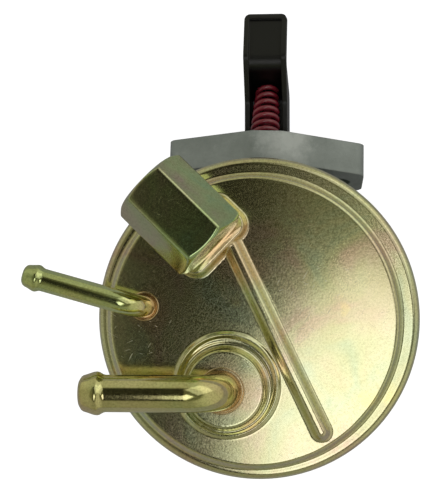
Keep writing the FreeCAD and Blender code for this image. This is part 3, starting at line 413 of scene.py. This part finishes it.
# Fuel cover
PANEL_CENTRE = (-1.3, -0.9)
PANEL_FOOT, PANEL_SLOPE, PANEL_RISE = 51.85, 2.35, 2.2
DOME_RADIUS, DOME_RISE = 50.0, 1.0
BOSS_CENTRE = (-10.9, -24.2)
BOSS_FOOT, BOSS_SLOPE, BOSS_RISE = 14.9, 1.9, 3.6
GROOVE_RADIUS, GROOVE_HALF, GROOVE_DEPTH = 15.6, 1.0, 0.22
BEAD_CENTRE = (-10.4, -22.9)
BEAD_RADIUS, BEAD_HALF, BEAD_RISE = 17.5, 1.45, 0.8
RIB_LOW, RIB_HIGH = np.array([22.4, -38.8]), np.array([-8.2, 25.3])
RIB_FOOT, RIB_SLOPE, RIB_RISE = 3.9, 3.3, 3.0
# The hexagon stands on the saddle, turned to its heading and tilted down outwards.
HEADING = math.radians(135.8)
TILT = math.radians(3.0)
FITTING_FOOT = (-24.2, 35.4)
SADDLE_HALF_LENGTH, SADDLE_HALF_WIDTH, SADDLE_CORNER = 9.5, 14.75, 6.0
SADDLE_SLOPE, SADDLE_RISE = 1.8, 3.0
# The crimped rim: its land, its outer radius and the hem that closes under the stack
SEAT_RADIUS, RIM_RADIUS, RIM_ROLL = 53.5, 56.1, 2.6
HEM_CENTRE, HEM_LEVEL, HEM_ROLL = 53.9, -7.8, 2.2
HEM_END = [(51.3, -10.0), (51.1, -9.9), (51.1, -8.7), (51.3, -8.6), (54.4, -8.6)]
INNERMOST, RING_GAP = 0.4, 0.46


def reach_from(x, y, centre):
    return np.hypot(x - centre[0], y - centre[1])


def cover_height(x, y):
    """How far the cover's inner face stands out above the rim land."""
    from_panel = reach_from(x, y, PANEL_CENTRE)
    panel = PANEL_RISE * smooth((PANEL_FOOT - from_panel) / PANEL_SLOPE)
    dome = DOME_RISE * np.clip(1 - (from_panel / DOME_RADIUS) ** 2, 0.0, 1.0)
    from_boss = reach_from(x, y, BOSS_CENTRE)
    boss = BOSS_RISE * smooth((BOSS_FOOT - from_boss) / BOSS_SLOPE)
    groove = -GROOVE_DEPTH * bump(from_boss - GROOVE_RADIUS, GROOVE_HALF)
    bead = BEAD_RISE * bump(reach_from(x, y, BEAD_CENTRE) - BEAD_RADIUS, BEAD_HALF)
    along = RIB_HIGH - RIB_LOW
    share = ((x - RIB_LOW[0]) * along[0] + (y - RIB_LOW[1]) * along[1]) / (along @ along)
    share = np.clip(share, 0, 1)
    from_rib = np.hypot(x - RIB_LOW[0] - share * along[0], y - RIB_LOW[1] - share * along[1])
    rib = RIB_RISE * smooth((RIB_FOOT - from_rib) / RIB_SLOPE)
    outward = np.array([math.cos(HEADING), math.sin(HEADING)])
    foot_x, foot_y = x - FITTING_FOOT[0], y - FITTING_FOOT[1]
    lx = foot_x * outward[0] + foot_y * outward[1]
    ly = -foot_x * outward[1] + foot_y * outward[0]
    dx = np.abs(lx + SADDLE_HALF_LENGTH) - (SADDLE_HALF_LENGTH - SADDLE_CORNER)
    dy = np.abs(ly) - (SADDLE_HALF_WIDTH - SADDLE_CORNER)
    outside = np.hypot(np.maximum(dx, 0), np.maximum(dy, 0))
    edge = outside + np.minimum(np.maximum(dx, dy), 0) - SADDLE_CORNER
    saddle = (SADDLE_RISE - lx * math.tan(TILT)) * smooth(-edge / SADDLE_SLOPE)
    top = np.maximum(boss, np.maximum(rib, saddle))
    return panel + dome + top + bead + groove


def make_cover():
    steps = 720
    angle = np.linspace(0, 2 * math.pi, steps, endpoint=False)
    levels = []
    for radius in np.concatenate([np.arange(INNERMOST, SEAT_RADIUS - 0.1, RING_GAP), [SEAT_RADIUS]]):
        x, y = radius * np.cos(angle), radius * np.sin(angle)
        levels.append(np.stack([x, y, cover_height(x, y)], -1))
    rim = []
    for turn in np.linspace(0, 90, 10)[1:]:
        t = math.radians(turn)
        rim.append((SEAT_RADIUS + RIM_ROLL * math.sin(t), -RIM_ROLL + RIM_ROLL * math.cos(t)))
    rim += [(RIM_RADIUS, level) for level in (-4.0, -6.0, HEM_LEVEL)]
    for turn in np.linspace(0, 90, 7)[1:]:
        t = math.radians(turn)
        rim.append((HEM_CENTRE + HEM_ROLL * math.cos(t), HEM_LEVEL - HEM_ROLL * math.sin(t)))
    rim += HEM_END
    for radius, level in rim:
        ring = np.stack([radius * np.cos(angle), radius * np.sin(angle), np.full(steps, level)], -1)
        levels.append(ring)
    faces = lattice_faces(len(levels), steps)
    faces.append(first_cap(steps))
    item = add_mesh("cover_shell", row(np.vstack(levels)), faces, COVER)
    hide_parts("fuel_cover")
    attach(item, "pump")


make_cover()


# Hose tubes
def tube_path(start, heading, base, height, bend):
    """Points and directions along a tube's middle line up to the end of its bend."""
    flat = np.array([math.cos(heading), math.sin(heading), 0.0])
    up = np.array([0.0, 0.0, 1.0])
    origin = np.array([start[0], start[1], base])
    rise = height - base
    stations = [(origin - up * 1.2, up), (origin + up * (rise - bend), up)]
    for turn in np.linspace(0, 90, 25)[1:]:
        t = math.radians(turn)
        spot = origin + up * (rise - bend + bend * math.sin(t)) + flat * bend * (1 - math.cos(t))
        stations.append((spot, up * math.cos(t) + flat * math.sin(t)))
    return stations, origin + up * rise, flat


def make_tube(node, material, start, heading, base, height, bend, run, outer, wall, nose, collar):
    """A bent hose tube with a beaded nose, given from its tip back, and a braze collar."""
    stations, corner, flat = tube_path(start, heading, base, height, bend)
    side = np.cross(flat, (0, 0, 1.0))
    steps = 96
    angle = np.linspace(0, 2 * math.pi, steps, endpoint=False)
    rings = []

    def add(spot, direction, radius):
        other = np.cross(direction, side)
        rings.append(spot + radius * (np.outer(np.cos(angle), side) + np.outer(np.sin(angle), other)))

    for spot, direction in stations:
        add(spot, direction, outer)
    add(corner + flat * (run - nose[-1][0] - 0.4), flat, outer)
    for back, radius in reversed(nose):
        add(corner + flat * (run - back), flat, radius)
    mouth = nose[0][1]
    inside = ((0.15, mouth - 0.25), (0.6, mouth - 0.1), (1.4, mouth + 0.35), (2.4, outer - wall))
    for back, radius in inside:
        add(corner + flat * (run - back), flat, radius)
    add(corner + flat * (bend + 0.1), flat, outer - wall)
    for spot, direction in reversed(stations):
        add(spot, direction, outer - wall)
    faces = lattice_faces(len(rings), steps)
    item = add_mesh(node + "_shell", row(np.vstack(rings)), faces, material)
    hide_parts(node)
    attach(item, "pump")
    foot = (start[0], start[1], base)
    ring = turned(node + "_braze", rounded(collar, 0.35), BRAZE, foot)
    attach(ring, "pump")


INLET_NOSE = [
    (0.0, 4.35), (0.12, 4.6), (0.3, 4.9), (0.6, 5.4), (0.9, 5.8), (1.5, 6.2), (2.3, 6.43), (3.3, 6.75),
    (4.3, 7.1), (5.2, 7.36), (6.0, 7.45), (6.6, 7.38), (7.0, 7.23), (7.6, 6.86), (8.3, 6.5), (9.0, 6.35),
]
RETURN_NOSE = [
    (0.0, 2.7), (0.1, 2.85), (0.25, 3.1), (0.5, 3.4), (0.8, 3.65), (1.4, 3.9), (2.2, 4.08), (3.2, 4.36),
    (4.0, 4.62), (4.8, 4.75), (5.4, 4.62), (5.9, 4.36), (6.5, 4.08), (7.1, 3.97),
]
INLET_COLLAR = [
    (-0.2, 9.5), (0.25, 9.1), (0.2, 8.6), (0.75, 8.2), (1.1, 7.8), (0.7, 7.4), (0.8, 7.1),
    (1.5, 6.6), (2.4, 6.35),
]
RETURN_COLLAR = [
    (-0.2, 5.9), (0.2, 5.6), (0.15, 5.3), (0.6, 5.05), (0.8, 4.8), (0.45, 4.6), (0.5, 4.45),
    (1.0, 4.15), (1.7, 3.97),
]
make_tube(
    "inlet_tube", TUBE, start=(-11.9, -24.6), heading=math.pi, base=5.8,
    height=19.5, bend=11.2, run=47.1, outer=6.35, wall=1.0, nose=INLET_NOSE, collar=INLET_COLLAR,
)
make_tube(
    "return_tube", SMALL_TUBE, start=(-39.2, 4.3), heading=math.radians(164.5), base=2.2,
    height=12.0, bend=8.2, run=42.2, outer=3.97, wall=0.8, nose=RETURN_NOSE, collar=RETURN_COLLAR,
)


# Hexagon outlet fitting
# The hexagon's half width across its flats and half length, and its port's thread
HALF_FLATS, HALF_LENGTH = 12.7, 15.5
PORT_RADIUS, GROOVE_BOTTOM, PITCH = 7.3, 7.75, 1.41
THREAD_START, THREAD_END = 1.4, 15.0
THREAD_TURN = ((0.0, PORT_RADIUS), (0.35, GROOVE_BOTTOM), (0.7, GROOVE_BOTTOM), (1.05, PORT_RADIUS))
EDGE_SHARPNESS, CONE_SHARPNESS = 50.0, 40.0
CHAMFER = math.radians(30.0)


def make_fitting():
    height = SADDLE_RISE + HALF_FLATS
    lean = height * math.sin(TILT)
    origin = np.array([
        FITTING_FOOT[0] + lean * math.cos(HEADING),
        FITTING_FOOT[1] + lean * math.sin(HEADING),
        PANEL_RISE + height * math.cos(TILT),
    ])
    turn = Matrix.Rotation(HEADING, 3, "Z") @ Matrix.Rotation(TILT, 3, "Y")
    steps = 480
    angle = np.linspace(0, 2 * math.pi, steps, endpoint=False)
    total = np.zeros(steps)
    for k in range(6):
        facing = np.maximum(np.cos(angle - math.radians(60 * k)), 0) / HALF_FLATS
        total += facing**EDGE_SHARPNESS
    hexagon = total ** (-1 / EDGE_SHARPNESS)
    rings = []

    def add(x, radius):
        radius = np.broadcast_to(radius, steps)
        rings.append(np.stack([np.full(steps, x), radius * np.sin(angle), radius * np.cos(angle)], -1))

    face = HALF_FLATS * math.cos(TILT) - 0.1

    def add_chamfered(x, back):
        """A ring of the hexagon where the end's cone cuts its corners, at a distance back from the end."""
        cone = face + back / math.tan(CHAMFER)
        both = hexagon**-CONE_SHARPNESS + cone**-CONE_SHARPNESS
        add(x, both ** (-1 / CONE_SHARPNESS))

    add(-HALF_LENGTH + 0.05, 0.2)
    add(-HALF_LENGTH, 0.3)
    add(-HALF_LENGTH, face - 0.25)
    for back in [*np.linspace(0.0, 1.5, 16), 2.0, 6.0]:
        add_chamfered(-HALF_LENGTH + back, back)
    for back in [6.0, 2.0, *np.linspace(1.5, 0.0, 16)]:
        add_chamfered(HALF_LENGTH - back, back)
    add(HALF_LENGTH, face - 0.25)
    add(HALF_LENGTH, 8.55)
    add(HALF_LENGTH - 0.15, 8.4)
    add(HALF_LENGTH - 1.2, PORT_RADIUS)
    depth = THREAD_START
    while depth < THREAD_END:
        for step, radius in THREAD_TURN:
            add(HALF_LENGTH - depth - step, radius)
        depth += PITCH
    add(HALF_LENGTH - 16.2, PORT_RADIUS)
    add(HALF_LENGTH - 18.3, 3.2)
    add(HALF_LENGTH - 22.0, 0.2)
    points = row(np.vstack(rings) @ np.array(turn).T + origin)
    faces = lattice_faces(len(rings), steps)
    faces += [first_cap(steps), last_cap(len(rings), steps)]
    item = add_mesh("fitting_shell", points, faces, HEX)
    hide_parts("outlet_fitting")
    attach(item, "pump")


make_fitting()


# Rocker arm
# Metres: the radius at the tip's corners, how far back from the tip it is trimmed, and spare room
TIP_CORNER, TIP_LENGTH, TIP_WIDENING, SPARE = 0.0024, 0.012, 0.020, 0.01
BEYOND = 0.05


def make_arm():
    """The pressed arm with its tip's corners rounded in plan."""
    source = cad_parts["rocker_arm"]
    low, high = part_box("rocker_arm")
    tip = [vertex.co for vertex in source.data.vertices if vertex.co.y > high[1] - 0.001]
    half = max(abs(point.x) for point in tip)
    outline = [
        (-BEYOND, low[1] - SPARE), (BEYOND, low[1] - SPARE),
        (BEYOND, high[1] - TIP_WIDENING), (half, high[1] - TIP_LENGTH),
    ]
    for side, start in ((1, 0), (-1, 90)):
        for turn in np.linspace(start, start + 90, 9):
            t = math.radians(turn)
            x = side * (half - TIP_CORNER) + TIP_CORNER * math.cos(t)
            outline.append((x, high[1] - TIP_CORNER + TIP_CORNER * math.sin(t)))
    outline += [(-half, high[1] - TIP_LENGTH), (-BEYOND, high[1] - TIP_WIDENING)]
    count = len(outline)
    points = [(x, y, z) for z in (low[2] - SPARE, high[2] + SPARE) for x, y in outline]
    faces = [list(range(count))[::-1], [count + k for k in range(count)]]
    faces += [(k, (k + 1) % count, count + (k + 1) % count, count + k) for k in range(count)]
    keep = bpy.data.meshes.new("tip_outline")
    keep.from_pydata(points, [], faces)
    keeper = bpy.data.objects.new("tip_outline", keep)
    bpy.context.scene.collection.objects.link(keeper)
    item = bpy.data.objects.new("arm_shell", source.data.copy())
    bpy.context.scene.collection.objects.link(item)
    trim = item.modifiers.new("trim", "BOOLEAN")
    trim.operation = "INTERSECT"
    trim.solver = "EXACT"
    trim.object = keeper
    shaped = bpy.data.meshes.new_from_object(item.evaluated_get(bpy.context.evaluated_depsgraph_get()))
    item.modifiers.clear()
    item.data = shaped
    bpy.data.objects.remove(keeper)
    shaped.polygons.foreach_set("use_smooth", [False] * len(shaped.polygons))
    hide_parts("rocker_arm")
    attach(item, "arm")


make_arm()


# Return spring
# The arm's pin, the spring's seat on the arm from the pin, and how far it stands off the seat
PIN_Y, PIN_Z = 31.0, -46.0
SEAT_AHEAD, SEAT_BELOW, SEAT_OFF = 49.5, 5.6, 6.2
SPRING_LENGTH, SPRING_WIRE, SPRING_TURNS = 27.6, 0.92, 8.0
SPRING_LOW_RADIUS, SPRING_WIDENING = 3.5, 1.45


def make_return_spring():
    rise = math.radians(58.0)
    seat = np.array([
        0.0,
        PIN_Y + SEAT_AHEAD + SEAT_OFF * math.cos(rise),
        PIN_Z - SEAT_BELOW + SEAT_OFF * math.sin(rise),
    ])
    back = np.array([0.0, -math.sin(rise), math.cos(rise)])
    across = np.array([1.0, 0.0, 0.0])
    other = np.cross(back, across)
    length, wire, turns = SPRING_LENGTH, SPRING_WIRE, SPRING_TURNS
    steps, sides = int(turns * 48), 14
    rings = []
    for i in range(steps + 1):
        t = i / steps
        angle = 2 * math.pi * turns * t
        flat_ends = smooth(np.array(t * turns / 1.2)) * smooth(np.array((1 - t) * turns / 1.2))
        radius = SPRING_LOW_RADIUS + SPRING_WIDENING * t
        level = wire + (length - 2 * wire) * t
        out = across * math.cos(angle) + other * math.sin(angle)
        centre = seat + back * (level + 0.3) + out * radius
        forward = -across * math.sin(angle) + other * math.cos(angle)
        forward = forward * radius + back * (length / turns / (2 * math.pi)) * float(flat_ends)
        forward /= np.linalg.norm(forward)
        lift = np.cross(forward, out)
        for k in range(sides):
            a = 2 * math.pi * k / sides
            rings.append(centre + wire * (out * math.cos(a) + lift * math.sin(a)))
    faces = lattice_faces(steps + 1, sides)
    faces += [first_cap(sides), last_cap(steps + 1, sides)]
    item = add_mesh("return_coil", row(np.array(rings)), faces, RED)
    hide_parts("return_spring")
    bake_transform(item)


make_return_spring()


# Inner springs, each copied from its part's own mesh
def make_inner_spring(node, piece):
    """A copy of the spring's own mesh, attached to the pump."""
    item = bpy.data.objects.new(piece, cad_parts[node].data.copy())
    bpy.context.scene.collection.objects.link(item)
    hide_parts(node)
    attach(item, "pump")
    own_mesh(item)


make_inner_spring("diaphragm_spring", "diaphragm_coil")
make_inner_spring("inlet_valve_spring", "inlet_valve_coil")
make_inner_spring("outlet_valve_spring", "outlet_valve_coil")


# Stage, light and camera
def pale_floor(name, colour, glow, reflected):
    """White to the camera but for the object's shadow, and a pale field in what reflects it."""
    m = Nodes(name)
    m.shader.inputs["Base Color"].default_value = (*colour, 1.0)
    m.shader.inputs["Roughness"].default_value = 1.0
    m.shader.inputs["Specular IOR Level"].default_value = 0.0
    path = m.tree.nodes.new("ShaderNodeLightPath")
    seen = m.fade(path.outputs["Is Camera Ray"], glow)
    bent = m.sum(path.outputs["Is Glossy Ray"], path.outputs["Is Transmission Ray"], "MAXIMUM")
    m.link(m.sum(seen, m.fade(bent, reflected)), m.shader.inputs["Emission Strength"])
    m.shader.inputs["Emission Color"].default_value = (1.0, 1.0, 1.0, 1.0)
    return m.material


# Metres below the part, and out from it
FLOOR_GAP, FLOOR_HALF = 0.004, 2.0
floor_level = cad_low.z - FLOOR_GAP
floor = bpy.data.meshes.new("floor")
corners = [(x * FLOOR_HALF, y * FLOOR_HALF, floor_level) for x, y in ((-1, -1), (1, -1), (1, 1), (-1, 1))]
floor.from_pydata(corners, [], [(0, 1, 2, 3)])
floor_item = bpy.data.objects.new("floor", floor)
bpy.context.scene.collection.objects.link(floor_item)
floor.materials.append(pale_floor("floor_white", (0.35, 0.35, 0.35), 0.90, 0.03))
floor_item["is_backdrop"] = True

world = bpy.data.worlds.new("studio")
bpy.context.scene.world = world
world.use_nodes = True
tree = world.node_tree
tree.nodes.clear()


def world_math(kind, first, second):
    node = tree.nodes.new("ShaderNodeMath")
    node.operation = kind
    for index, value in enumerate((first, second)):
        if isinstance(value, (int, float)):
            node.inputs[index].default_value = value
        else:
            tree.links.new(value, node.inputs[index])
    return node.outputs[0]


def world_span(value, low, high, to_low, to_high):
    node = tree.nodes.new("ShaderNodeMapRange")
    node.interpolation_type = "SMOOTHSTEP"
    ends = (("From Min", low), ("From Max", high), ("To Min", to_low), ("To Max", to_high))
    for key, number in ends:
        node.inputs[key].default_value = number
    tree.links.new(value, node.inputs["Value"])
    return node.outputs["Result"]


def world_product(first, *more):
    for value in more:
        first = world_math("MULTIPLY", first, value)
    return first


direction = tree.nodes.new("ShaderNodeTexCoord").outputs["Generated"]
parts = tree.nodes.new("ShaderNodeSeparateXYZ")
tree.links.new(direction, parts.inputs[0])
east, north, high = parts.outputs
# A soft box hangs overhead, a little east and south, turned to the two directions below.
ALONG, ACROSS = 0.75, 0.66
BOX_LIGHT = 1.42
slant = world_math("ADD", world_product(east, ALONG), world_product(north, -ACROSS))
cross = world_math("ADD", world_product(east, ACROSS), world_product(north, ALONG))
box = world_product(
    world_span(slant, -0.02, 0.04, 0.0, 1.0),
    world_span(slant, 0.30, 0.42, 1.0, 0.0),
    world_span(cross, -0.45, -0.38, 0.0, 1.0),
    world_span(cross, 0.02, 0.10, 1.0, 0.0),
    world_span(east, -0.118, -0.09, 0.0, 1.0),
    world_span(high, 0.2, 0.4, 0.0, 1.0),
)
overhead = world_span(high, 0.70, 0.82, 0.0, 1.0)
east_side = world_span(east, 0.0, 0.8, 0.26, 0.50)
west_side = world_span(east, -0.8, -0.3, 0.08, 0.0)
north_side = world_span(north, 0.2, 0.8, 0.0, 0.15)
side = world_math("ADD", world_math("ADD", east_side, west_side), north_side)
below = world_span(high, -0.3, 0.1, 0.45, 1.0)
around = world_product(side, below, world_math("SUBTRACT", 1.0, overhead))
east_part = world_span(east, -0.06, -0.04, 0.02, 0.13)
west_part = world_span(east, -0.30, -0.21, 0.15, 0.0)
ceiling = world_product(overhead, world_math("ADD", east_part, west_part))
light = world_math("ADD", world_math("ADD", around, ceiling), world_product(box, BOX_LIGHT))
path = tree.nodes.new("ShaderNodeLightPath")
background = tree.nodes.new("ShaderNodeBackground")
tint = tree.nodes.new("ShaderNodeMix")
tint.data_type = "RGBA"
CEILING_TINT = (1.0, 1.0, 0.62)
tint.inputs[6].default_value = (*CEILING_TINT, 1.0)
tint.inputs[7].default_value = (*WHITE_RGB, 1.0)
plain_rays = world_math("MAXIMUM", path.outputs["Is Diffuse Ray"], path.outputs["Is Camera Ray"])
tree.links.new(world_math("MAXIMUM", world_math("ADD", around, box), plain_rays), tint.inputs[0])
tree.links.new(tint.outputs[2], background.inputs["Color"])
# Matt surfaces see an even soft sky instead, and the camera sees white.
soft = world_span(high, -0.1, 0.9, 0.35, 0.75)
matt = path.outputs["Is Diffuse Ray"]
mirrored = world_product(light, world_math("SUBTRACT", 1.0, matt))
light = world_math("ADD", mirrored, world_product(soft, matt))
strength = world_math("MAXIMUM", light, path.outputs["Is Camera Ray"])
tree.links.new(strength, background.inputs["Strength"])
tree.links.new(background.outputs[0], tree.nodes.new("ShaderNodeOutputWorld").inputs["Surface"])


def area_light(name, place, aim, size, power):
    data = bpy.data.lights.new(name, "AREA")
    data.shape = "RECTANGLE"
    data.size, data.size_y = size
    data.energy = power
    item = bpy.data.objects.new(name, data)
    bpy.context.scene.collection.objects.link(item)
    item.location = place
    item.rotation_euler = (Vector(aim) - Vector(place)).to_track_quat("-Z", "Y").to_euler()
    item.visible_camera = False
    item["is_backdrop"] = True


area_light("key", (0.45, 0.35, 0.75), (0, -0.02, 0.0), (0.8, 0.8), 0.9)

camera_data = bpy.data.cameras.new("camera")
camera = bpy.data.objects.new("camera", camera_data)
bpy.context.scene.collection.objects.link(camera)
LENS, SENSOR, ROLL = 124.435, 36.0, -0.00228
EYE = [50.82, 28.188, 598.014]
AIM = [-13.673, 23.859, 0.0]
camera_data.lens = LENS
camera_data.sensor_width = SENSOR
camera_data.clip_start, camera_data.clip_end = 0.01, 10.0
eye = Vector(row(EYE))
aim = Vector(row(AIM))
forward = (aim - eye).normalized()
right = forward.cross(Vector((0, 1, 0))).normalized()
upward = right.cross(forward)
facing = Matrix((right, upward, -forward)).transposed().to_4x4()
camera.matrix_world = Matrix.Translation(eye) @ facing @ Matrix.Rotation(ROLL, 4, "Z")
scene = bpy.context.scene
scene.camera = camera
scene.view_settings.view_transform = "Standard"

low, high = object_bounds()
